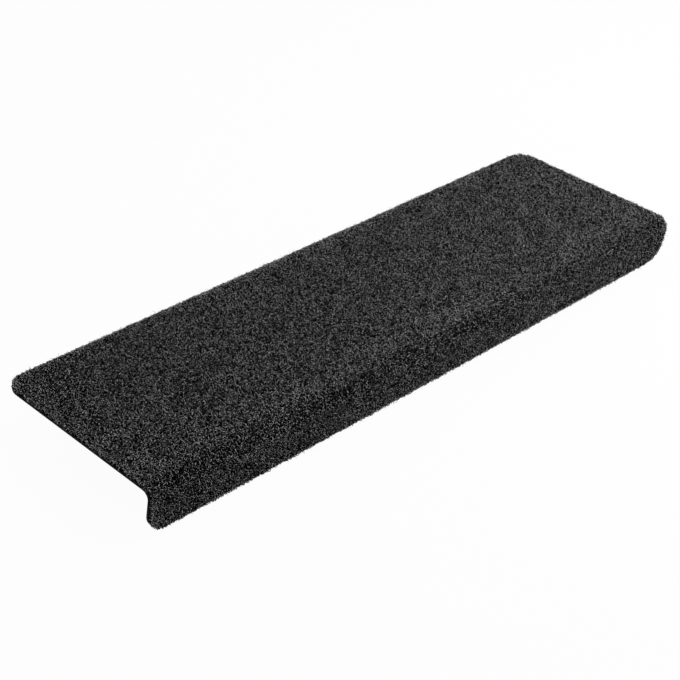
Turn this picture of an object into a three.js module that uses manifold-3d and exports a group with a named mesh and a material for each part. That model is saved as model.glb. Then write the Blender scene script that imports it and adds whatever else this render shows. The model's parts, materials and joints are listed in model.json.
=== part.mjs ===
// Stair tread mat: a strip of needle-punched carpet on a rubber backing, moulded to
// wrap over the front edge of a step.
// Millimetres, +Z up. X runs along the step, +Y points back to the riser behind, and
// the origin is on the flat underside that lies on the step, in the middle of the mat.
import * as THREE from 'three';
import { mergeVertices } from 'three/addons/utils/BufferGeometryUtils.js';
import Module from 'manifold-3d';

const wasm = await Module();
wasm.setup();

// Driving dimensions
const MAT_LENGTH = 540; // end to end, along the step
const TREAD_DEPTH = 160; // back edge to the front of the nosing
const LIP_DROP = 40; // top of the pile to the lowest edge of the lip
const BACKING_THICKNESS = 2;
const PILE_THICKNESS = 3;
const BEND_INNER_RADIUS = 5; // inside of the bend, on the step's edge
const BEND_ANGLE = THREE.MathUtils.degToRad(98); // the lip folds back under a little
const BACK_CORNER_RADIUS = 15; // the two corners at the back of the tread
const LIP_CORNER_RADIUS = 16; // the two corners at the foot of the lip

// Facets on the curves
const BEND_FACETS = 16;
const CORNER_FACETS = 10;

const matThickness = BACKING_THICKNESS + PILE_THICKNESS;
const outerRadius = BEND_INNER_RADIUS + matThickness;
const backEdgeY = TREAD_DEPTH / 2;
const bendCentre = new THREE.Vector2(outerRadius - backEdgeY, -BEND_INNER_RADIUS);

// The lip leaves the bend along this direction, as (y, z).
const lipDirection = new THREE.Vector2(-Math.cos(BEND_ANGLE), -Math.sin(BEND_ANGLE));
const bendFootZ = bendCentre.y + outerRadius * Math.cos(BEND_ANGLE);
const lipFootZ = matThickness - LIP_DROP;
const lipLength = (bendFootZ - lipFootZ) / Math.sin(BEND_ANGLE);

// The side view of one surface of the mat, as (y, z) points from the back edge, round
// the bend and down the lip. Height is its distance above the flat underside.
function sideLine(height) {
  const radius = BEND_INNER_RADIUS + height;
  const topAngle = Math.PI / 2;
  const bend = new THREE.ArcCurve(
    bendCentre.x, bendCentre.y, radius, topAngle, topAngle + BEND_ANGLE, false,
  ).getPoints(BEND_FACETS);
  const lipEnd = bend.at(-1).clone().addScaledVector(lipDirection, lipLength);
  return [new THREE.Vector2(backEdgeY, height), ...bend, lipEnd];
}

// A layer of the laminate, between two heights, extruded from end to end of the mat.
function layerGeometry(bottom, top) {
  const section = new THREE.Shape([...sideLine(bottom), ...sideLine(top).reverse()]);
  const geometry = new THREE.ExtrudeGeometry(section, {
    depth: MAT_LENGTH,
    bevelEnabled: false,
  });
  // The section's (y, z) axes and the extrusion become Y, Z and X.
  const axes = new THREE.Matrix4().makeBasis(
    new THREE.Vector3(0, 1, 0), new THREE.Vector3(0, 0, 1), new THREE.Vector3(1, 0, 0),
  );
  return geometry.translate(0, 0, -MAT_LENGTH / 2).applyMatrix4(axes);
}

// A rectangle as long as the mat, from y = 0 to y = reach, with its far corners rounded.
function roundedPanel(reach, cornerRadius) {
  const halfLength = MAT_LENGTH / 2;
  const flatHalf = halfLength - cornerRadius;
  const panel = new THREE.Shape();
  panel.moveTo(-halfLength, 0);
  panel.lineTo(halfLength, 0);
  panel.lineTo(halfLength, reach - cornerRadius);
  panel.absarc(flatHalf, reach - cornerRadius, cornerRadius, 0, Math.PI / 2, false);
  panel.lineTo(-flatHalf, reach);
  panel.absarc(-flatHalf, reach - cornerRadius, cornerRadius, Math.PI / 2, Math.PI, false);
  panel.closePath();
  return panel;
}

// A thick slab cut to a rounded panel, square to the panel's own plane.
function panelCutter(reach, cornerRadius) {
  const thickness = 2 * (TREAD_DEPTH + LIP_DROP);
  return new THREE.ExtrudeGeometry(roundedPanel(reach, cornerRadius), {
    depth: thickness,
    bevelEnabled: false,
    curveSegments: CORNER_FACETS,
  }).translate(0, 0, -thickness / 2);
}

// The tread's outline from above. It reaches well past the nosing, so it only
// rounds the back corners.
function treadOutline() {
  const pastNosing = LIP_DROP;
  return panelCutter(TREAD_DEPTH + pastNosing, BACK_CORNER_RADIUS)
    .translate(0, backEdgeY - TREAD_DEPTH - pastNosing, 0);
}

// The lip's outline, square to the lip. It reaches far above the tread, so it only
// rounds the corners at the lip's foot.
function lipOutline() {
  const aboveTread = 2 * TREAD_DEPTH;
  const [foot] = sideLine(0).slice(-1);
  const start = foot.clone().addScaledVector(lipDirection, -(lipLength + aboveTread));
  const along = new THREE.Vector3(0, lipDirection.x, lipDirection.y);
  const across = new THREE.Vector3(1, 0, 0);
  const placing = new THREE.Matrix4()
    .makeBasis(across, along, across.clone().cross(along))
    .setPosition(0, start.x, start.y);
  return panelCutter(lipLength + aboveTread, LIP_CORNER_RADIUS).applyMatrix4(placing);
}

function toSolid(geometry) {
  const bare = geometry.clone();
  bare.deleteAttribute('normal');
  bare.deleteAttribute('uv');
  const merged = mergeVertices(bare);
  return new wasm.Manifold(new wasm.Mesh({
    numProp: 3,
    vertProperties: merged.attributes.position.array,
    triVerts: new Uint32Array(merged.index.array),
  }));
}

function toGeometry(solid) {
  const mesh = solid.getMesh();
  const geometry = new THREE.BufferGeometry();
  geometry.setAttribute('position', new THREE.BufferAttribute(mesh.vertProperties, 3));
  geometry.setIndex(new THREE.BufferAttribute(mesh.triVerts, 1));
  geometry.computeVertexNormals();
  return geometry;
}

// One layer with its four corners rounded.
function layer(name, bottom, top, material) {
  const solid = toSolid(layerGeometry(bottom, top))
    .intersect(toSolid(treadOutline()))
    .intersect(toSolid(lipOutline()));
  const mesh = new THREE.Mesh(toGeometry(solid), material);
  mesh.name = name;
  return mesh;
}

const rubber = new THREE.MeshStandardMaterial({
  color: 0x0d0d0e,
  roughness: 0.85,
  metalness: 0,
});
const carpet = new THREE.MeshStandardMaterial({
  color: 0x343434,
  roughness: 1,
  metalness: 0,
  flatShading: true,
});

const mat = new THREE.Group();
mat.add(
  layer('rubber_backing', 0, BACKING_THICKNESS, rubber),
  layer('carpet_pile', BACKING_THICKNESS, matThickness, carpet),
);

export default mat;
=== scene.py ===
# Stair tread mat: the carpet's fibres, the felt they grow from and the rubber under them.
# Metres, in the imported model's frame: X along the step, +Y back to the riser, +Z up, and
# the origin on the flat underside that lies on the step.
import json
import math
import random

import bmesh
import bpy
from bpy.props import FloatProperty, FloatVectorProperty, IntProperty, PointerProperty
from mathutils import Matrix, Vector, noise

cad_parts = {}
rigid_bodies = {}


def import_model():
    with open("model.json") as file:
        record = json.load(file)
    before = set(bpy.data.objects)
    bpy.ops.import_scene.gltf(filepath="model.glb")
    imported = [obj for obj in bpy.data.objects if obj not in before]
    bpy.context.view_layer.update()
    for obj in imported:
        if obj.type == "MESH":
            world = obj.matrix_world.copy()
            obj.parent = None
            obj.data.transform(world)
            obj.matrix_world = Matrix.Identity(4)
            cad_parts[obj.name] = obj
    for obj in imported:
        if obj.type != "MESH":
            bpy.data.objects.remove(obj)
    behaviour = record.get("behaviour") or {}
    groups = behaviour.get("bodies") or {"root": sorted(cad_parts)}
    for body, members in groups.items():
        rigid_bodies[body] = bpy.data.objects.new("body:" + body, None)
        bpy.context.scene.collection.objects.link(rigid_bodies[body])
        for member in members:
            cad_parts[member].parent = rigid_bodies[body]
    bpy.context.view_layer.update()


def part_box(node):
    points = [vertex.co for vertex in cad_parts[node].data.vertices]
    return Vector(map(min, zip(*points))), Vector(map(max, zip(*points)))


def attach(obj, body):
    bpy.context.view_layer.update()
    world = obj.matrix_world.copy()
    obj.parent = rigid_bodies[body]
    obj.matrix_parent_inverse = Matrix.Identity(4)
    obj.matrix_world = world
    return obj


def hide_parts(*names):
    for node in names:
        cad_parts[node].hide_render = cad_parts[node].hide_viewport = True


bl_info = {
    "name": "Stair tread mat",
    "version": (1, 0, 0),
    "blender": (4, 5, 0),
    "location": "View3D > Sidebar > Stair mat",
    "description": "Dresses a moulded stair tread mat with rubber, felt and carpet fibres",
    "category": "Object",
}

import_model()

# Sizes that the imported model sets
PILE_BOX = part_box("carpet_pile")
HALF_LENGTH = PILE_BOX[1].x
BACK_EDGE = PILE_BOX[1].y
MAT_THICKNESS = PILE_BOX[1].z
LIP_FOOT = PILE_BOX[0].z
BACKING_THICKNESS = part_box("rubber_backing")[1].z

MM = 0.001
WHITE = (1.0, 1.0, 1.0)

# Names that a material, an attribute or a UV map is found by
YARN = "mixed_grey_yarn"
TONE = "yarn_tone"
CELL = "cell"
TUFT_MAP = "tuft_map"
BAKE_MAP = "OFBake"

# Slabs: two heights closer than SAME_HEIGHT are one, and a face is flat if its normal's Z
# is over FLAT_ENOUGH. EDGE_EASING draws the mesh towards the slab's edges, at most 1.
SAME_HEIGHT = 0.01 * MM
FLAT_ENOUGH = 0.5
EDGE_EASING = 0.9
ROUNDING_STEPS = 3

# Tufts: the faces round one and along it, and its width at the tips as a share of the
# middle's. The width follows a sine that is cut short by TIP_CUT at both ends.
TUFT_SIDES = 3
TUFT_STEPS = 3
TIP_WIDTH = 0.55
TIP_CUT = 0.12
LENGTH_SPREAD = (0.75, 1.2)
STRAY_THINNESS = 0.35
STRAY_REACH = 1.35
NEARLY_UPRIGHT = 0.01

# A lying curl: its turn and wobble at each step in radians, its lift as shares of the
# rise, how much one half may stand higher, and the power that makes its arch fuller.
CURL_TURN = (0.25, 1.15)
CURL_WOBBLE = 0.5
CURL_LIFT = (0.75, 1.3)
CURL_SKEW = 0.2
CURL_FULLNESS = 0.8

# A standing tuft: its turn at each step and its first climb in radians, its stride as
# shares of an even step, the steps before its tip that lie level, and its greatest rise.
SPROUT_TURN = 0.9
SPROUT_CLIMB = (1.0, 1.35)
SPROUT_STRIDE = (0.6, 0.9)
SPROUT_DROOP = 0.6
SPROUT_TOP = 1.5

# Tries for each tuft that the spacing leaves room for, and the shares of a tuft's map
# and of its cell in the bake's map that its caps and the cell's margin take
CROWDING = 4.0
CAP_SHARE = 0.08
CELL_MARGIN = 0.08

# Rubber, with its grain and bloom from 0 to 1
PEBBLE_SOFTNESS = 0.6
PEBBLE_TOPS = (0.4, 0.8)
CUT_ENDS = (0.3, 0.8)
BLOOM_SPAN = (0.5, 0.85)
BLOOM_LEAST = 0.35
BLOOM_PORES = 0.25
PORE_HEIGHT = 0.2
RUBBER_ROUGHNESS = 0.62
BLOOM_ROUGHNESS = 0.18
PORE_ROUGHNESS = 0.08
RUBBER_GLOSS = 0.06

# Felt, with its knots from 0 to 1. A patch is as wide as PATCH_KNOTS knots.
PATCH_KNOTS = 3.2
KNOT_SHARE = 0.75
LIGHT_KNOTS = (0.44, 0.68)
KNOT_HEIGHT = 0.8 * MM
FELT_ROUGHNESS = 0.95
FELT_SMOOTHING = 0.12

# Yarn: the tones at which it is dark, charcoal, grey and light, the share of a tuft's own
# tone in it, and how much smoother the lightest tufts are
YARN_STOPS = (0.22, 0.45, 0.61, 0.95)
OWN_TONE = 0.4
STREAK_HEIGHT = 0.05 * MM
YARN_ROUGHNESS = 0.78
YARN_SMOOTHING = 0.2
YARN_GLOSS = 0.03

# Where the painted highlight at the back edge lies, as shares of the way from the mat's
# middle to its back edge; where the painted light behind the nosing, the painted highlight
# midway along the nosing and the fold lie, as shares of the way to the nosing; and the
# heights, in mat thicknesses, between which the painted shade of the fold fades
BACK_EDGE_HIGHLIGHT_SPAN = (0.86, 1.0)
NOSING_LIGHT_SPAN = (-0.4, 0.8)
RIDGE_HIGHLIGHT_SPAN = (0.56, 0.72)
FOLD_SPAN = (0.82, 0.95)
LIP_SPAN = (-2.4, -0.8)


def length_property(name, description, default, smallest=0.0):
    """A length, shown in the scene's own unit."""
    return FloatProperty(
        name=name, description=description, default=default, min=smallest,
        subtype="DISTANCE", unit="LENGTH", precision=5,
    )


def angle_property(name, description, degrees):
    """An angle, given here in degrees."""
    return FloatProperty(
        name=name, description=description, default=math.radians(degrees),
        subtype="ANGLE", unit="ROTATION",
    )


def colour_property(name, description, default):
    """A linear colour."""
    return FloatVectorProperty(
        name=name, description=description, default=default, subtype="COLOR",
        size=3, min=0.0, max=1.0,
    )


def share_property(name, description, default):
    """A plain number from 0 to 1."""
    return FloatProperty(name=name, description=description, default=default, min=0.0, max=1.0)


class MatShape(bpy.types.PropertyGroup):
    """How the flat mat is cut and moulded over the step's edge."""

    bend_radius: length_property("Bend radius", "Inside of the bend, on the step's edge", 5 * MM)
    bend_angle: angle_property("Bend angle", "How far the lip folds down and back under", 98)
    back_corner: length_property("Back corners", "Radius of the two back corners", 15 * MM)
    lip_corner: length_property("Lip corners", "Radius of the corners at the lip's foot", 16 * MM)
    columns: IntProperty(
        name="Columns", description="Columns of mesh from end to end", default=104, min=24,
    )
    rows: IntProperty(
        name="Rows", description="Rows of mesh from the back edge to the lip's foot",
        default=76, min=24,
    )


class RubberBacking(bpy.types.PropertyGroup):
    """The black anti-slip rubber that lies on the step."""

    edge_radius: length_property("Edge radius", "Rounding of the cut edges", 0.3 * MM)
    colour: colour_property("Colour", "Black rubber", (0.0035, 0.0035, 0.0036))
    dust: colour_property("Dust", "Bloom on the pebbles' tops", (0.05, 0.05, 0.0504))
    grain: length_property("Grain", "Width of the pebbles moulded in the rubber", 2.2 * MM)
    grain_depth: length_property("Grain depth", "Height of the pebbles", 0.2 * MM)
    bloom_width: length_property("Bloom width", "Width of the patches of bloom", 35 * MM)
    pore_width: length_property("Pore width", "Width of the rubber's fine pores", 0.4 * MM)


class CarpetFelt(bpy.types.PropertyGroup):
    """The dense felt that the carpet's fibres stand on."""

    height: length_property("Height", "Top of the felt above the underside", 3.4 * MM)
    inset: length_property("Inset", "How far the felt stays inside the cut edge", 0.3 * MM)
    edge_radius: length_property("Edge radius", "Rounding of the felt's top edge", 0.3 * MM)
    lump_height: length_property("Lump height", "Height of the uneven needled surface", 0.25 * MM)
    lump_width: length_property("Lump width", "Width of one lump", 7 * MM)
    dark: colour_property("Dark fibres", "Felt in the hollows", (0.0012, 0.0012, 0.0012))
    light: colour_property("Light fibres", "Lighter fibres in the felt", (0.01, 0.01, 0.0101))
    grain: length_property("Grain", "Width of the felted knots", 1.1 * MM)


class CarpetFibres(bpy.types.PropertyGroup):
    """The curled fibre tufts that make the speckled top of the carpet."""

    spacing: length_property("Spacing", "Least distance between two tufts", 1.2 * MM, 0.5 * MM)
    zones: IntProperty(
        name="Zones", description="Pieces that share the fibres, side by side", default=5, min=1,
    )
    rim: length_property("Rim", "Border that is left to the short tufts of the cut edge", 1.7 * MM)
    kinds: IntProperty(name="Kinds", description="Different tuft shapes", default=40, min=1)
    length: length_property("Length", "Length of one tuft along its curl", 3.2 * MM)
    radius: length_property("Radius", "Half the width of a tuft at its middle", 0.3 * MM)
    rise: length_property("Rise", "How high a tuft arches over the felt", 1.4 * MM)
    lean: angle_property("Lean", "Most that a tuft leans from the surface", 16)
    size_spread: share_property("Size spread", "How much the tufts differ in size", 0.28)
    dark: colour_property("Dark yarn", "The darkest fibres", (0.001, 0.001, 0.00101))
    charcoal: colour_property("Charcoal yarn", "Darker common fibres", (0.014, 0.014, 0.0141))
    grey: colour_property("Grey yarn", "Lighter common fibres", (0.064, 0.064, 0.06445))
    light: colour_property("Light yarn", "The few lightest fibres", (0.46, 0.46, 0.46322))
    # Painted light: the pile's tone is made lighter in a band behind the nosing.
    nosing_light: share_property("Opening", "How much lighter the pile is just behind the nosing", 0.03)
    # Painted shade: the pile's tone is made darker where it turns down over the nosing.
    fold_shade: share_property("Crease", "How much darker the pile is where it turns down", 0.02)
    # Painted highlight: the pile's tone is made lighter in a band just behind the nosing, midway
    # along.
    ridge_highlight: share_property("Ridge", "How much lighter the pile is on the nosing, midway", 0.055)
    # Painted highlight: the pile's tone is made lighter along the back edge, away from the ends.
    back_edge_highlight: share_property("Fringe", "How much lighter the pile is at its back edge", 0.16)
    patchiness: share_property("Patchiness", "How much the pile's tone varies in patches", 0.15)
    patch_width: length_property("Patch width", "Width of these patches", 22 * MM)
    streak: length_property("Streaks", "Length of one fibre's tone along a tuft", 0.8 * MM)
    streak_contrast: FloatProperty(
        name="Streak contrast", description="How much the fibres of one tuft differ in tone",
        default=4.3, min=0.0,
    )
    upright: share_property("Upright", "Share of tufts that stand up to a free tip", 0.25)
    stray: share_property("Stray", "Share of thin stray hairs among the tufts", 0.03)
    darkest: share_property("Darkest tuft", "Tone of the darkest tuft, from 0 to 1", 0.0)
    seed: IntProperty(name="Seed", description="Seed of the fibres' placing", default=7)


class RimTufts(bpy.types.PropertyGroup):
    """The short cut tufts and stray hairs that fill the pile out to its cut edge."""

    spacing: length_property("Spacing", "Least distance between two tufts", 0.85 * MM, 0.4 * MM)
    band: length_property("Band", "Width of the border that the rim's tufts grow from", 2.0 * MM)
    clearance: length_property("Clearance", "From the rubber to the lowest tuft", 0.9 * MM)
    kinds: IntProperty(name="Kinds", description="Different tuft shapes", default=30, min=1)
    length: length_property("Length", "Length of one tuft along its curl", 2.3 * MM)
    radius: length_property("Radius", "Half the width of a tuft at its middle", 0.28 * MM)
    rise: length_property("Rise", "How high a tuft arches over the felt", 1.0 * MM)
    lean: angle_property("Lean", "Most that a tuft leans from the surface", 14)
    size_spread: share_property("Size spread", "How much the tufts differ in size", 0.35)
    upright: share_property("Upright", "Share of tufts that stand up to a free tip", 0.3)
    stray: share_property("Stray", "Share of thin stray hairs among the tufts", 0.3)
    # The rim's tufts start at a lighter tone than the pile's: a painted highlight along the cut
    # edge.
    darkest: share_property("Darkest tuft", "Tone of the darkest tuft, from 0 to 1", 0.55)
    seed: IntProperty(name="Seed", description="Seed of the tufts' placing", default=31)


class Studio(bpy.types.PropertyGroup):
    """The pale floor, the soft lamps and the camera."""

    floor_size: length_property("Floor size", "Side of the square floor", 12.0)
    floor_colour: colour_property("Floor colour", "Pale floor", (0.68, 0.68, 0.68))
    floor_clearance: length_property("Floor gap", "Gap from the lip's foot to the floor", 2.5 * MM)
    floor_white: share_property("Floor white", "How far the camera sees the floor as white", 0.96)
    sky_strength: FloatProperty(
        name="Sky strength", description="Even light from all round", default=0.6, min=0.0,
    )
    key_power: FloatProperty(
        name="Key power", description="Power of the large soft lamp", default=8.4, min=0.0,
        unit="POWER",
    )
    key_size: length_property("Key size", "Side of the square key lamp", 0.7)
    key_place: FloatVectorProperty(
        name="Key place", description="Middle of the key lamp", default=(0.72, -0.3, 0.64),
        subtype="TRANSLATION", unit="LENGTH", size=3,
    )
    camera_azimuth: angle_property("Azimuth", "Round from the front, below 0 to -X", -46.018)
    camera_elevation: angle_property("Elevation", "Above the horizon", 33.254)
    camera_roll: angle_property("Roll", "Tilt of the camera about its own line of sight", 3.0)
    camera_distance: length_property("Distance", "From the aim point to the camera", 1.2272)
    camera_aim: FloatVectorProperty(
        name="Aim", description="Point in the middle of the picture",
        default=(-0.0216, 0.0057, -0.0322), subtype="TRANSLATION", unit="LENGTH", size=3,
        precision=4,
    )
    lens: FloatProperty(
        name="Lens", description="Focal length on the sensor's width", default=86.34,
        unit="CAMERA",
    )
    sensor: FloatProperty(
        name="Sensor", description="Width of the sensor", default=36.0, unit="CAMERA",
    )


class StairMatSettings(bpy.types.PropertyGroup):
    """All the settings of the stair tread mat."""

    shape: PointerProperty(type=MatShape)
    backing: PointerProperty(type=RubberBacking)
    felt: PointerProperty(type=CarpetFelt)
    fibres: PointerProperty(type=CarpetFibres)
    rim: PointerProperty(type=RimTufts)
    studio: PointerProperty(type=Studio)


class Value:
    """A node's output, on which sums are written as Python expressions."""

    def __init__(self, graph, socket):
        self.graph = graph
        self.socket = socket

    def maths(self, operation, *terms):
        """Adds a Math node that works on these numbers or values."""
        return self.graph.node(
            "ShaderNodeMath", {"operation": operation}, dict(enumerate(terms)),
        )["Value"]

    def __add__(self, other):
        return self.maths("ADD", self, other)

    __radd__ = __add__

    def __sub__(self, other):
        return self.maths("SUBTRACT", self, other)

    def __rsub__(self, other):
        return self.maths("SUBTRACT", other, self)

    def __mul__(self, other):
        return self.maths("MULTIPLY", self, other)

    __rmul__ = __mul__

    def __truediv__(self, other):
        return self.maths("DIVIDE", self, other)

    def __floordiv__(self, other):
        return self.maths("FLOOR", self / other)


class Graph:
    """A node tree, to which nodes are added with their settings and sockets at once."""

    def __init__(self, tree):
        self.tree = tree

    def node(self, kind, settings=None, sockets=None):
        """Adds a node and returns its outputs by name. Sockets go by name or by number."""
        node = self.tree.nodes.new(kind)
        for name, value in (settings or {}).items():
            if name == "stops":
                self.set_stops(node.color_ramp, value)
            else:
                setattr(node, name, value)
        for name, value in (sockets or {}).items():
            shown = [s for s in node.inputs if s.enabled]
            target = shown[name] if isinstance(name, int) else next(
                s for s in shown if s.name == name
            )
            if isinstance(value, Value):
                self.tree.links.new(value.socket, target)
            else:
                target.default_value = value
        return {s.name: Value(self, s) for s in node.outputs if s.enabled}

    @staticmethod
    def set_stops(ramp, stops):
        """Gives a colour ramp its stops, as (place, linear colour)."""
        while len(ramp.elements) > 1:
            ramp.elements.remove(ramp.elements[-1])
        for number, (place, colour) in enumerate(stops):
            stop = ramp.elements.new(place) if number else ramp.elements[0]
            stop.position = place
            stop.color = (*colour, 1.0)

    def mixed(self, factor, first, second):
        """One colour mixed with another."""
        return self.node(
            "ShaderNodeMix", {"data_type": "RGBA"}, {"Factor": factor, "A": first, "B": second},
        )["Result"]


def new_material(name):
    """An empty node material and its graph."""
    material = bpy.data.materials.new(name)
    material.use_nodes = True
    material.node_tree.nodes.clear()
    return material, Graph(material.node_tree)


def opaque(colour):
    """A linear colour with its alpha, as a socket holds it."""
    return (*colour, 1.0)


def noise_of(graph, place, width, detail=2.0, roughness=0.5):
    """Soft noise from 0 to 1 with lumps of about this width."""
    return graph.node(
        "ShaderNodeTexNoise", {"noise_dimensions": "3D"},
        {"Vector": place, "Scale": 1 / width, "Detail": detail, "Roughness": roughness},
    )["Fac"]


def eased(graph, value, span):
    """0 before the span, 1 past it and a smooth step between."""
    return graph.node(
        "ShaderNodeMapRange", {"interpolation_type": "SMOOTHSTEP"},
        {"Value": value, "From Min": span[0], "From Max": span[1]},
    )["Result"]


def finish_surface(graph, colour, roughness, height, bump_distance, constants):
    """Joins a colour, a roughness and a bump height to a Principled shader."""
    normal = graph.node(
        "ShaderNodeBump", None, {"Strength": 1.0, "Distance": bump_distance, "Height": height},
    )["Normal"]
    shader = graph.node(
        "ShaderNodeBsdfPrincipled", None,
        {"Base Color": colour, "Roughness": roughness, "Normal": normal, **constants},
    )["BSDF"]
    graph.node("ShaderNodeOutputMaterial", None, {"Surface": shader})


def rubber_material(backing):
    """Matt black rubber, clean at the cut ends, with a pebbled grain and a faint grey bloom."""
    material, graph = new_material("black_rubber")
    place = graph.node("ShaderNodeTexCoord")["Object"]
    pebbles = graph.node(
        "ShaderNodeTexVoronoi", {"feature": "SMOOTH_F1"},
        {"Vector": place, "Scale": 1 / backing.grain, "Smoothness": PEBBLE_SOFTNESS},
    )["Distance"]
    bloom = noise_of(graph, place, backing.bloom_width, detail=5.0, roughness=0.6)
    pores = noise_of(graph, place, backing.pore_width, detail=3.0)
    normal = graph.node("ShaderNodeNewGeometry")["True Normal"]
    endways = graph.node("ShaderNodeSeparateXYZ", None, {"Vector": normal})["X"]
    cut = eased(graph, endways.maths("ABSOLUTE", endways), CUT_ENDS)
    tops = eased(graph, 1 - pebbles, PEBBLE_TOPS)
    patches = eased(graph, bloom + BLOOM_PORES * pores, BLOOM_SPAN)
    dusty = tops * (BLOOM_LEAST + (1 - BLOOM_LEAST) * patches) * (1 - cut)
    colour = graph.mixed(dusty, opaque(backing.colour), opaque(backing.dust))
    roughness = RUBBER_ROUGHNESS + BLOOM_ROUGHNESS * bloom + PORE_ROUGHNESS * pores
    finish_surface(
        graph, colour, roughness, 1 - pebbles + PORE_HEIGHT * pores, backing.grain_depth,
        {"Specular IOR Level": RUBBER_GLOSS},
    )
    return material


def felt_material(felt):
    """Dark needled felt with knots and lighter fibres in it."""
    material, graph = new_material("charcoal_felt")
    place = graph.node("ShaderNodeTexCoord")["Object"]
    knots = noise_of(graph, place, felt.grain, detail=4.0, roughness=0.65)
    patches = noise_of(graph, place, PATCH_KNOTS * felt.grain)
    light = eased(graph, KNOT_SHARE * knots + (1 - KNOT_SHARE) * patches, LIGHT_KNOTS)
    colour = graph.mixed(light, opaque(felt.dark), opaque(felt.light))
    roughness = FELT_ROUGHNESS - FELT_SMOOTHING * light
    finish_surface(
        graph, colour, roughness, knots, KNOT_HEIGHT, {"Specular IOR Level": 0.0},
    )
    return material


def painted_light_and_patches(graph, place, fibres):
    """Painted light and shade: highlights at the back edge and midway on the nosing, light behind
    the nosing, shade in the fold, and random patches.
    """
    parts = graph.node("ShaderNodeSeparateXYZ", None, {"Vector": place})
    forward = parts["Y"] / -BACK_EDGE
    endways = parts["X"] / HALF_LENGTH
    folded = eased(graph, forward, FOLD_SPAN)
    above_lip = eased(graph, parts["Z"] / MAT_THICKNESS, LIP_SPAN)
    # Painted light behind the nosing, stopped where the pile folds down
    nosing_lit = eased(graph, forward, NOSING_LIGHT_SPAN) * (1 - folded)
    midway = 1 - endways * endways
    # Painted highlight midway along the nosing
    ridge_highlight = eased(graph, forward, RIDGE_HIGHLIGHT_SPAN) * (1 - folded) * midway
    # Painted highlight along the back edge
    back_edge_highlight = eased(graph, -1 * forward, BACK_EDGE_HIGHLIGHT_SPAN) * midway
    patches = noise_of(graph, place, fibres.patch_width, detail=1.0) - 0.5
    return (
        fibres.nosing_light * nosing_lit
        + fibres.ridge_highlight * ridge_highlight
        + fibres.back_edge_highlight * back_edge_highlight
        # Painted shade in the fold, fading out down the lip
        - fibres.fold_shade * folded * above_lip
        + fibres.patchiness * patches
    )


def yarn_material(fibres):
    """Curled yarn in mixed greys: each tuft has its own tone, its fibres vary along it, and
    painted light and shade lie over it.
    """
    material, graph = new_material(YARN)
    place = graph.node("ShaderNodeTexCoord")["Object"]
    tone = graph.node("ShaderNodeAttribute", {"attribute_name": TONE})["Fac"]
    streaks = noise_of(graph, place, fibres.streak, detail=2.0, roughness=0.7)
    mixed_tone = 0.5 + OWN_TONE * (tone - 0.5) + fibres.streak_contrast * (streaks - 0.5)
    # Painted light and shade, with random patches of tone, added to the yarn's tone
    mixed_tone += painted_light_and_patches(graph, place, fibres)
    yarns = (fibres.dark, fibres.charcoal, fibres.grey, fibres.light)
    stops = tuple(zip(YARN_STOPS, yarns))
    colour = graph.node("ShaderNodeValToRGB", {"stops": stops}, {0: mixed_tone})["Color"]
    finish_surface(
        graph, colour, YARN_ROUGHNESS - YARN_SMOOTHING * tone, streaks, STREAK_HEIGHT,
        {"Specular IOR Level": YARN_GLOSS},
    )
    return material


class Moulding:
    """Takes points of the flat-cut mat to where they are on the moulded mat.

    A flat point is (x, run, height): run goes from the back edge along the top of the
    pile to the lip's foot, and height is above the underside.
    """

    def __init__(self, shape):
        self.inner = shape.bend_radius
        self.angle = shape.bend_angle
        self.outer = self.inner + MAT_THICKNESS
        self.bend_y = self.outer - BACK_EDGE
        self.tread_run = BACK_EDGE - self.bend_y
        self.bend_run = self.outer * self.angle
        bend_foot = self.outer * math.cos(self.angle) - self.inner
        self.lip_run = (bend_foot - LIP_FOOT) / math.sin(self.angle)
        self.run = self.tread_run + self.bend_run + self.lip_run
        self.back_corner = shape.back_corner
        self.lip_corner = shape.lip_corner

    def moulded(self, point):
        """Where a flat point lies on the moulded mat."""
        x, run, height = point
        past_tread = run - self.tread_run
        if past_tread <= 0:
            return Vector((x, BACK_EDGE - run, height))
        turn = min(past_tread / self.outer, self.angle)
        radius = self.inner + height
        down_lip = max(past_tread - self.bend_run, 0.0)
        y = self.bend_y - radius * math.sin(turn) - down_lip * math.cos(self.angle)
        z = -self.inner + radius * math.cos(turn) - down_lip * math.sin(self.angle)
        return Vector((x, y, z))

    def end_inset(self, run):
        """How much a rounded corner takes off each end of the mat at this run."""
        return max(
            self.arc_inset(run, self.back_corner),
            self.arc_inset(self.run - run, self.lip_corner),
        )

    def edge_distance(self, point):
        """Roughly how far a flat point lies inside the mat's cut edge."""
        to_end = HALF_LENGTH - self.end_inset(point.y) - abs(point.x)
        return min(to_end, point.y, self.run - point.y)

    @staticmethod
    def arc_inset(distance, radius):
        """The inset of a quarter circle at this distance from the edge that it meets."""
        if distance >= radius:
            return 0.0
        return radius - math.sqrt(max(radius**2 - (radius - distance) ** 2, 0.0))


def drawn_to_edges(share):
    """Moves evenly spaced steps from 0 to 1 towards both ends."""
    return share - EDGE_EASING * math.sin(math.tau * share) / math.tau


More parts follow.
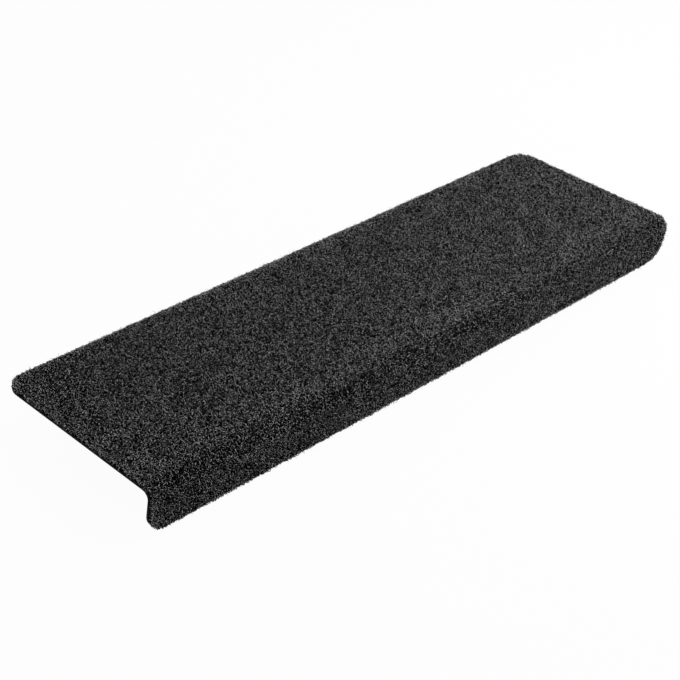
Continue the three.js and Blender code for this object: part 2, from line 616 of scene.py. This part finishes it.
def flat_slab(moulding, shape, low, high, inset):
    """A closed flat slab with rounded corners, from a unit grid, as a bmesh in flat points."""
    bm = bmesh.new()
    bmesh.ops.create_grid(bm, x_segments=shape.columns, y_segments=shape.rows, size=0.5)
    for vert in bm.verts:
        run = drawn_to_edges(vert.co.y + 0.5) * moulding.run
        half = HALF_LENGTH - moulding.end_inset(run)
        vert.co = Vector(((2 * drawn_to_edges(vert.co.x + 0.5) - 1) * half, run, high))
    shrink = Vector((1 - inset / HALF_LENGTH, 1 - 2 * inset / moulding.run, 1.0))
    bmesh.ops.scale(bm, vec=shrink, verts=bm.verts)
    bmesh.ops.translate(bm, vec=Vector((0.0, inset, 0.0)), verts=bm.verts)
    made = bmesh.ops.extrude_face_region(bm, geom=bm.faces[:])["geom"]
    lower = [item for item in made if isinstance(item, bmesh.types.BMVert)]
    bmesh.ops.translate(bm, vec=Vector((0.0, 0.0, low - high)), verts=lower)
    bmesh.ops.recalc_face_normals(bm, faces=bm.faces[:])
    return bm


def lies_flat(face):
    """True on the slab's top and bottom, False on its cut edge."""
    return abs(face.normal.z) > FLAT_ENOUGH


def round_edges(bm, offset, both_sides):
    """Rounds the slab's upper cut edge, and its lower one too if both_sides is True."""
    edges = [
        edge for edge in bm.edges
        if len({lies_flat(face) for face in edge.link_faces}) == 2
        and (both_sides or any(face.normal.z > FLAT_ENOUGH for face in edge.link_faces))
    ]
    bmesh.ops.bevel(
        bm, geom=edges, offset=offset, segments=ROUNDING_STEPS, profile=0.5, affect="EDGES",
        material=-1, clamp_overlap=True,
    )


def mould(bm, moulding):
    """Moves every vertex of a flat bmesh to its place on the moulded mat.

    Runs go towards -Y there, which turns the faces inside out, so they are turned back.
    """
    for vert in bm.verts:
        vert.co = moulding.moulded(vert.co)
    bmesh.ops.reverse_faces(bm, faces=bm.faces[:])


def new_piece(name, bm, material):
    """Makes a smooth-shaded object of a bmesh, which is then freed."""
    for face in bm.faces:
        face.smooth = True
    mesh = bpy.data.meshes.new(name)
    bm.to_mesh(mesh)
    bm.free()
    mesh.materials.append(material)
    piece = bpy.data.objects.new(name, mesh)
    bpy.context.scene.collection.objects.link(piece)
    return piece


def felt_slab(settings, moulding, low=BACKING_THICKNESS):
    """The felt as a flat bmesh, with its upper edge rounded and its top uneven."""
    felt = settings.felt
    bm = flat_slab(moulding, settings.shape, low, felt.height, felt.inset)
    round_edges(bm, felt.edge_radius, both_sides=False)
    middle = (low + felt.height) / 2
    for vert in bm.verts:
        if vert.co.z > middle:
            lump = noise.noise(Vector((vert.co.x, vert.co.y, 0.0)) / felt.lump_width)
            vert.co.z += lump * felt.lump_height
    return bm


def ring_place(points, number, radius):
    """The matrix that puts a unit circle round a tuft's centreline at this point."""
    before = points[max(number - 1, 0)]
    after = points[min(number + 1, len(points) - 1)]
    along = (after - before).normalized()
    across = along.cross(Vector((0.0, 0.0, 1.0)))
    if across.length < NEARLY_UPRIGHT:
        across = Vector((1.0, 0.0, 0.0))
    across.normalize()
    over = along.cross(across)
    turn = Matrix((across, over, along)).transposed().to_4x4()
    return Matrix.Translation(points[number]) @ turn @ Matrix.Scale(radius, 4)


def tuft_bmesh(points, radii, sides):
    """One closed tuft: a small ring that is extruded along its centreline."""
    bm = bmesh.new()
    corner = bm.verts.layers.int.new("corner")
    ring = bm.verts.layers.int.new("ring")
    bmesh.ops.create_circle(bm, cap_ends=True, segments=sides, radius=1.0)
    bm.verts.ensure_lookup_table()
    for number, vert in enumerate(bm.verts):
        vert[corner] = number
    bm.faces.ensure_lookup_table()
    end = bm.faces[0]
    placed = ring_place(points, 0, radii[0])
    bmesh.ops.transform(bm, matrix=placed, verts=end.verts)
    for number in range(1, len(points)):
        last_end = end
        made = bmesh.ops.extrude_face_region(bm, geom=[last_end])["geom"]
        end = next(item for item in made if isinstance(item, bmesh.types.BMFace))
        if number > 1:
            bmesh.ops.delete(bm, geom=[last_end], context="FACES_ONLY")
        wanted = ring_place(points, number, radii[number])
        bmesh.ops.transform(bm, matrix=wanted @ placed.inverted(), verts=end.verts)
        placed = wanted
        for vert in end.verts:
            vert[ring] = number
    bmesh.ops.recalc_face_normals(bm, faces=bm.faces[:])
    map_tuft(bm, corner, ring, sides, len(points) - 1)
    return bm


def map_tuft(bm, corner, ring, sides, steps):
    """Lays a tuft's faces out side by side in a unit square, its two caps above and below."""
    layer = bm.loops.layers.uv.new(TUFT_MAP)
    for face in bm.faces:
        rings = {vert[ring] for vert in face.verts}
        corners = {vert[corner] for vert in face.verts}
        is_cap = len(rings) == 1
        wraps = not is_cap and corners == {0, sides - 1}
        for loop in face.loops:
            number = loop.vert[corner]
            if is_cap:
                top = loop.vert[ring] > 0
                depth = CAP_SHARE if number % 2 else 0.0
                loop[layer].uv = (number / (sides - 1), 1 - depth if top else depth)
                continue
            column = sides if wraps and number == 0 else number
            up = CAP_SHARE + (1 - 2 * CAP_SHARE) * loop.vert[ring] / steps
            loop[layer].uv = (column / sides, up)


def curl_points(chance, length, rise, sink, steps):
    """The centreline of a lying curl, which rises from the felt and dives back into it."""
    heading = 0.0
    turn = chance.choice((-1, 1)) * chance.uniform(*CURL_TURN)
    wobble = chance.uniform(-CURL_WOBBLE, CURL_WOBBLE)
    place = Vector((0.0, 0.0, 0.0))
    lift = rise * chance.uniform(*CURL_LIFT)
    flat = [place.copy()]
    for number in range(steps):
        place += Vector((math.cos(heading), math.sin(heading), 0.0)) * length / steps
        heading += turn + wobble * (-1) ** number
        flat.append(place.copy())
    middle = sum(flat, Vector()) / len(flat)
    skew = chance.uniform(-CURL_SKEW, CURL_SKEW)
    points = []
    for number, point in enumerate(flat):
        share = number / steps
        arch = math.sin(math.pi * share) ** CURL_FULLNESS * (1 + skew * share)
        points.append(point - middle + Vector((0.0, 0.0, lift * arch - sink)))
    return points


def sprout_points(chance, length, rise, sink, steps):
    """The centreline of a tuft that stands up from the felt and bends over to a free tip."""
    heading = 0.0
    turn = chance.uniform(-SPROUT_TURN, SPROUT_TURN)
    climb = chance.uniform(*SPROUT_CLIMB)
    place = Vector((0.0, 0.0, -sink))
    points = [place.copy()]
    stride = chance.uniform(*SPROUT_STRIDE) * length / steps
    for number in range(steps):
        pitch = climb * (1 - number / (steps - SPROUT_DROOP))
        flat = math.cos(pitch)
        place += stride * Vector(
            (flat * math.cos(heading), flat * math.sin(heading), math.sin(pitch))
        )
        heading += turn
        points.append(place.copy())
    top = max(point.z for point in points)
    squeeze = min(1.0, SPROUT_TOP * rise / top)
    return [Vector((p.x, p.y, p.z * squeeze)) for p in points]


def tuft_radius(radius, share):
    """Half a tuft's width at this share of its length."""
    along = TIP_CUT + (1 - 2 * TIP_CUT) * share
    return radius * (TIP_WIDTH + (1 - TIP_WIDTH) * math.sin(math.pi * along))


def tuft_kinds(name, source, material):
    """Makes a hidden collection of different tufts, for the scatter to choose from."""
    chance = random.Random(source.seed)
    kinds = bpy.data.collections.new(name)
    for number in range(source.kinds):
        maker = sprout_points if number < source.upright * source.kinds else curl_points
        is_stray = number < source.stray * source.kinds
        reach = STRAY_REACH if is_stray else 1.0
        radius = source.radius * (STRAY_THINNESS if is_stray else 1.0)
        length = reach * source.length * chance.uniform(*LENGTH_SPREAD)
        points = maker(chance, length, reach * source.rise, source.radius, TUFT_STEPS)
        radii = [tuft_radius(radius, step / TUFT_STEPS) for step in range(TUFT_STEPS + 1)]
        tuft = new_piece(f"{name}_{number}", tuft_bmesh(points, radii, TUFT_SIDES), material)
        bpy.context.scene.collection.objects.unlink(tuft)
        kinds.objects.link(tuft)
    return kinds


def discard_kinds(kinds):
    """Removes the tufts of a collection once the pieces are made from them."""
    for tuft in list(kinds.objects):
        bpy.data.meshes.remove(tuft.data)
    bpy.data.collections.remove(kinds)


def scatter_nodes(kinds, source, seed):
    """A node group that scatters the tufts over a surface and joins them into one mesh."""
    tree = bpy.data.node_groups.new("tuft_scatter", "GeometryNodeTree")
    tree.interface.new_socket("Geometry", in_out="INPUT", socket_type="NodeSocketGeometry")
    tree.interface.new_socket("Geometry", in_out="OUTPUT", socket_type="NodeSocketGeometry")
    graph = Graph(tree)
    surface = graph.node("NodeGroupInput")["Geometry"]
    points = graph.node(
        "GeometryNodeDistributePointsOnFaces", {"distribute_method": "POISSON"},
        {
            "Mesh": surface, "Distance Min": source.spacing,
            "Density Max": CROWDING / source.spacing**2, "Seed": seed,
        },
    )
    turn = graph.node(
        "FunctionNodeRandomValue", {"data_type": "FLOAT_VECTOR"},
        {
            "Min": (-source.lean, -source.lean, 0.0),
            "Max": (source.lean, source.lean, math.tau),
            "Seed": seed + 1,
        },
    )["Value"]
    turned = graph.node(
        "FunctionNodeRotateRotation", {"rotation_space": "LOCAL"},
        {"Rotation": points["Rotation"], "Rotate By": turn},
    )["Rotation"]
    choice = graph.node(
        "FunctionNodeRandomValue", {"data_type": "INT"},
        {"Min": 0, "Max": len(kinds.objects) - 1, "Seed": seed + 2},
    )["Value"]
    size = graph.node(
        "FunctionNodeRandomValue", {"data_type": "FLOAT"},
        {"Min": 1 - source.size_spread, "Max": 1 + source.size_spread, "Seed": seed + 3},
    )["Value"]
    tufts = graph.node(
        "GeometryNodeCollectionInfo", None,
        {"Collection": kinds, "Separate Children": True, "Reset Children": True},
    )["Instances"]
    placed = graph.node(
        "GeometryNodeInstanceOnPoints", None,
        {
            "Points": points["Points"],
            "Instance": tufts,
            "Pick Instance": True,
            "Instance Index": choice,
            "Rotation": turned,
            "Scale": size,
        },
    )["Instances"]
    tone = graph.node(
        "FunctionNodeRandomValue", {"data_type": "FLOAT"},
        {"Min": source.darkest, "Max": 1.0, "Seed": seed + 4},
    )["Value"]
    toned = stored(graph, placed, TONE, tone, "FLOAT", "INSTANCE")
    number = graph.node("GeometryNodeInputIndex")["Index"]
    numbered = stored(graph, toned, CELL, number, "FLOAT", "INSTANCE")
    joined = graph.node("GeometryNodeRealizeInstances", None, {"Geometry": numbered})["Geometry"]
    count = graph.node(
        "GeometryNodeAttributeDomainSize", {"component": "INSTANCES"}, {"Geometry": placed},
    )["Instance Count"]
    mapped = stored(graph, joined, BAKE_MAP, cell_map(graph, count), "FLOAT2", "CORNER")
    graph.node("NodeGroupOutput", None, {"Geometry": mapped})
    return tree


def stored(graph, geometry, name, value, data_type, domain):
    """Stores a value on the geometry under this name."""
    return graph.node(
        "GeometryNodeStoreNamedAttribute", {"data_type": data_type, "domain": domain},
        {"Geometry": geometry, "Name": name, "Value": value},
    )["Geometry"]


def cell_map(graph, count):
    """Gives every one of this many tufts its own square cell of the bake's map."""
    cells = count.maths("CEIL", count.maths("SQRT", count))
    number = graph.node(
        "GeometryNodeInputNamedAttribute", {"data_type": "FLOAT"}, {"Name": CELL},
    )["Attribute"]
    own = graph.node(
        "GeometryNodeInputNamedAttribute", {"data_type": "FLOAT_VECTOR"}, {"Name": TUFT_MAP},
    )["Attribute"]
    inside = graph.node("ShaderNodeSeparateXYZ", None, {"Vector": own})
    row = number // cells
    column = number - row * cells
    share = 1 - 2 * CELL_MARGIN
    across = (column + CELL_MARGIN + inside["X"] * share) / cells
    up = (row + CELL_MARGIN + inside["Y"] * share) / cells
    return graph.node("ShaderNodeCombineXYZ", None, {"X": across, "Y": up})["Vector"]


def grow(piece, tree, material):
    """Scatters tufts over the piece's surface and keeps only the tufts as its mesh."""
    modifier = piece.modifiers.new("tufts", "NODES")
    modifier.node_group = tree
    depsgraph = bpy.context.evaluated_depsgraph_get()
    mesh = bpy.data.meshes.new_from_object(
        piece.evaluated_get(depsgraph), preserve_all_data_layers=True, depsgraph=depsgraph,
    )
    surface = piece.data
    piece.modifiers.clear()
    piece.data = mesh
    mesh.name = piece.name
    bpy.data.meshes.remove(surface)
    bpy.data.node_groups.remove(tree)
    for name in (CELL, TUFT_MAP):
        mesh.attributes.remove(mesh.attributes[name])
    mesh.materials.clear()
    mesh.materials.append(material)


def open_felt(settings, moulding, wanted):
    """The felt's top and cut edge without its underside, where wanted(face centre) holds.

    The cut edge starts above the rubber, so that the tufts on it leave the rubber bare.
    """
    low = BACKING_THICKNESS + settings.rim.clearance
    bm = felt_slab(settings, moulding, low)
    unwanted = [
        face for face in bm.faces
        if all(vert.co.z < low + SAME_HEIGHT for vert in face.verts)
        or not wanted(face.calc_center_median())
    ]
    bmesh.ops.delete(bm, geom=unwanted, context="FACES")
    mould(bm, moulding)
    return bm


def settings_of(context):
    """The mat's settings, which the scene holds."""
    return context.scene.stair_mat


class STAIRMAT_OT_rubber_backing(bpy.types.Operator):
    """Makes the rubber sheet under the carpet, with cut edges and a pebbled underside"""

    bl_idname = "stair_mat.rubber_backing"
    bl_label = "Rubber backing"

    def execute(self, context):
        settings = settings_of(context)
        moulding = Moulding(settings.shape)
        bm = flat_slab(moulding, settings.shape, 0.0, BACKING_THICKNESS, 0.0)
        round_edges(bm, settings.backing.edge_radius, both_sides=True)
        mould(bm, moulding)
        piece = new_piece("rubber_sheet", bm, rubber_material(settings.backing))
        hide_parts("rubber_backing")
        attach(piece, "root")
        return {"FINISHED"}


class STAIRMAT_OT_carpet_felt(bpy.types.Operator):
    """Makes the dense felt that the fibres stand on"""

    bl_idname = "stair_mat.carpet_felt"
    bl_label = "Carpet felt"

    def execute(self, context):
        settings = settings_of(context)
        moulding = Moulding(settings.shape)
        bm = felt_slab(settings, moulding)
        mould(bm, moulding)
        piece = new_piece("carpet_felt", bm, felt_material(settings.felt))
        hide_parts("carpet_pile")
        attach(piece, "root")
        return {"FINISHED"}


class STAIRMAT_OT_carpet_fibres(bpy.types.Operator):
    """Covers the felt with curled tufts in mixed greys, in zones side by side"""

    bl_idname = "stair_mat.carpet_fibres"
    bl_label = "Carpet fibres"

    def execute(self, context):
        settings = settings_of(context)
        fibres = settings.fibres
        moulding = Moulding(settings.shape)
        material = yarn_material(fibres)
        kinds = tuft_kinds("tuft", fibres, material)
        zone_width = 2 * HALF_LENGTH / fibres.zones
        for zone in range(fibres.zones):
            left = -HALF_LENGTH + zone * zone_width
            bm = open_felt(
                settings, moulding,
                lambda centre: left <= centre.x < left + zone_width
                and moulding.edge_distance(centre) > fibres.rim,
            )
            piece = new_piece(f"carpet_fibres_{zone + 1}", bm, material)
            grow(piece, scatter_nodes(kinds, fibres, fibres.seed + 10 * zone), material)
            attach(piece, "root")
        discard_kinds(kinds)
        return {"FINISHED"}


class STAIRMAT_OT_rim_tufts(bpy.types.Operator):
    """Fills the pile out to its cut edge with short tufts and stray hairs"""

    bl_idname = "stair_mat.rim_tufts"
    bl_label = "Rim tufts"

    def execute(self, context):
        settings = settings_of(context)
        rim = settings.rim
        moulding = Moulding(settings.shape)
        material = bpy.data.materials[YARN]
        bm = open_felt(
            settings, moulding, lambda centre: moulding.edge_distance(centre) < rim.band,
        )
        kinds = tuft_kinds("rim_tuft", rim, material)
        piece = new_piece("rim_tufts", bm, material)
        grow(piece, scatter_nodes(kinds, rim, rim.seed), material)
        discard_kinds(kinds)
        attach(piece, "root")
        return {"FINISHED"}


def floor_material(studio):
    """A pale floor that the camera sees as nearly white, with the mat's soft shadow on it."""
    material, graph = new_material("pale_floor")
    seen = seen_directly(graph)
    matt = graph.node("ShaderNodeBsdfDiffuse", None, {"Color": opaque(studio.floor_colour)})
    glow = graph.node("ShaderNodeEmission", None, {"Color": opaque(WHITE), "Strength": 1.0})
    mixed = graph.node(
        "ShaderNodeMixShader", None,
        {0: seen * studio.floor_white, 1: matt["BSDF"], 2: glow["Emission"]},
    )["Shader"]
    graph.node("ShaderNodeOutputMaterial", None, {"Surface": mixed})
    return material


def seen_directly(graph):
    """1 for rays from the camera, a mirror or glass, and 0 for the light that falls on things."""
    path = graph.node("ShaderNodeLightPath")
    rays = path["Is Camera Ray"] + path["Is Glossy Ray"] + path["Is Transmission Ray"]
    return rays.maths("MINIMUM", rays, 1.0)


class STAIRMAT_OT_studio(bpy.types.Operator):
    """Makes the pale floor, the soft light and the camera at the photograph's angle"""

    bl_idname = "stair_mat.studio"
    bl_label = "Studio"

    def execute(self, context):
        studio = settings_of(context).studio
        self.make_floor(studio)
        self.make_sky(context, studio)
        self.make_key(context, studio)
        self.make_camera(context, studio)
        context.scene.view_settings.view_transform = "Standard"
        return {"FINISHED"}

    @staticmethod
    def make_floor(studio):
        bm = bmesh.new()
        bmesh.ops.create_grid(bm, x_segments=1, y_segments=1, size=studio.floor_size / 2)
        level = Vector((0.0, 0.0, LIP_FOOT - studio.floor_clearance))
        bmesh.ops.translate(bm, vec=level, verts=bm.verts)
        new_piece("floor", bm, floor_material(studio))

    @staticmethod
    def make_sky(context, studio):
        world = bpy.data.worlds.new("studio_sky")
        world.use_nodes = True
        world.node_tree.nodes.clear()
        graph = Graph(world.node_tree)
        strength = studio.sky_strength + seen_directly(graph) * (1 - studio.sky_strength)
        sky = graph.node(
            "ShaderNodeBackground", None, {"Color": opaque(WHITE), "Strength": strength},
        )["Background"]
        graph.node("ShaderNodeOutputWorld", None, {"Surface": sky})
        context.scene.world = world

    @staticmethod
    def make_key(context, studio):
        lamp = bpy.data.lights.new("soft_key", "AREA")
        lamp.energy = studio.key_power
        lamp.size = studio.key_size
        key = bpy.data.objects.new("soft_key", lamp)
        key.location = studio.key_place
        key.rotation_euler = key.location.to_track_quat("Z", "Y").to_euler()
        context.scene.collection.objects.link(key)

    @staticmethod
    def make_camera(context, studio):
        azimuth, elevation = studio.camera_azimuth, studio.camera_elevation
        back = Vector((
            math.sin(azimuth) * math.cos(elevation),
            -math.cos(azimuth) * math.cos(elevation),
            math.sin(elevation),
        ))
        right = (-back).cross(Vector((0.0, 0.0, 1.0))).normalized()
        turn = Matrix.Rotation(studio.camera_roll, 3, back)
        right = turn @ right
        up = back.cross(right)
        lens = bpy.data.cameras.new("camera")
        lens.sensor_width = studio.sensor
        lens.lens = studio.lens
        lens.clip_start = 10 * MM
        camera = bpy.data.objects.new("camera", lens)
        place = Vector(studio.camera_aim) + back * studio.camera_distance
        turned = Matrix((right, up, back)).transposed().to_4x4()
        camera.matrix_world = Matrix.Translation(place) @ turned
        context.scene.collection.objects.link(camera)
        context.scene.camera = camera


class STAIRMAT_PT_sidebar(bpy.types.Panel):
    """Lists the mat's pieces and their settings"""

    bl_idname = "STAIRMAT_PT_sidebar"
    bl_label = "Stair tread mat"
    bl_space_type = "VIEW_3D"
    bl_region_type = "UI"
    bl_category = "Stair mat"

    def draw(self, context):
        settings = settings_of(context)
        for operator in OPERATORS:
            self.layout.operator(operator.bl_idname)
        for group in (
            settings.shape, settings.backing, settings.felt, settings.fibres,
            settings.rim, settings.studio,
        ):
            box = self.layout.box()
            for name in group.__annotations__:
                box.prop(group, name)


GROUPS = (MatShape, RubberBacking, CarpetFelt, CarpetFibres, RimTufts, Studio, StairMatSettings)
OPERATORS = (
    STAIRMAT_OT_rubber_backing,
    STAIRMAT_OT_carpet_felt,
    STAIRMAT_OT_carpet_fibres,
    STAIRMAT_OT_rim_tufts,
    STAIRMAT_OT_studio,
)


def register():
    """Registers the add-on's classes and gives the scene the mat's settings."""
    for cls in (*GROUPS, *OPERATORS, STAIRMAT_PT_sidebar):
        bpy.utils.register_class(cls)
    bpy.types.Scene.stair_mat = PointerProperty(type=StairMatSettings)


def unregister():
    """Takes the settings and the classes away again."""
    del bpy.types.Scene.stair_mat
    for cls in reversed((*GROUPS, *OPERATORS, STAIRMAT_PT_sidebar)):
        bpy.utils.unregister_class(cls)


def main():
    """Makes every piece and the studio."""
    register()
    bpy.ops.stair_mat.rubber_backing()
    bpy.ops.stair_mat.carpet_felt()
    bpy.ops.stair_mat.carpet_fibres()
    bpy.ops.stair_mat.rim_tufts()
    bpy.ops.stair_mat.studio()


if __name__ == "__main__":
    main()
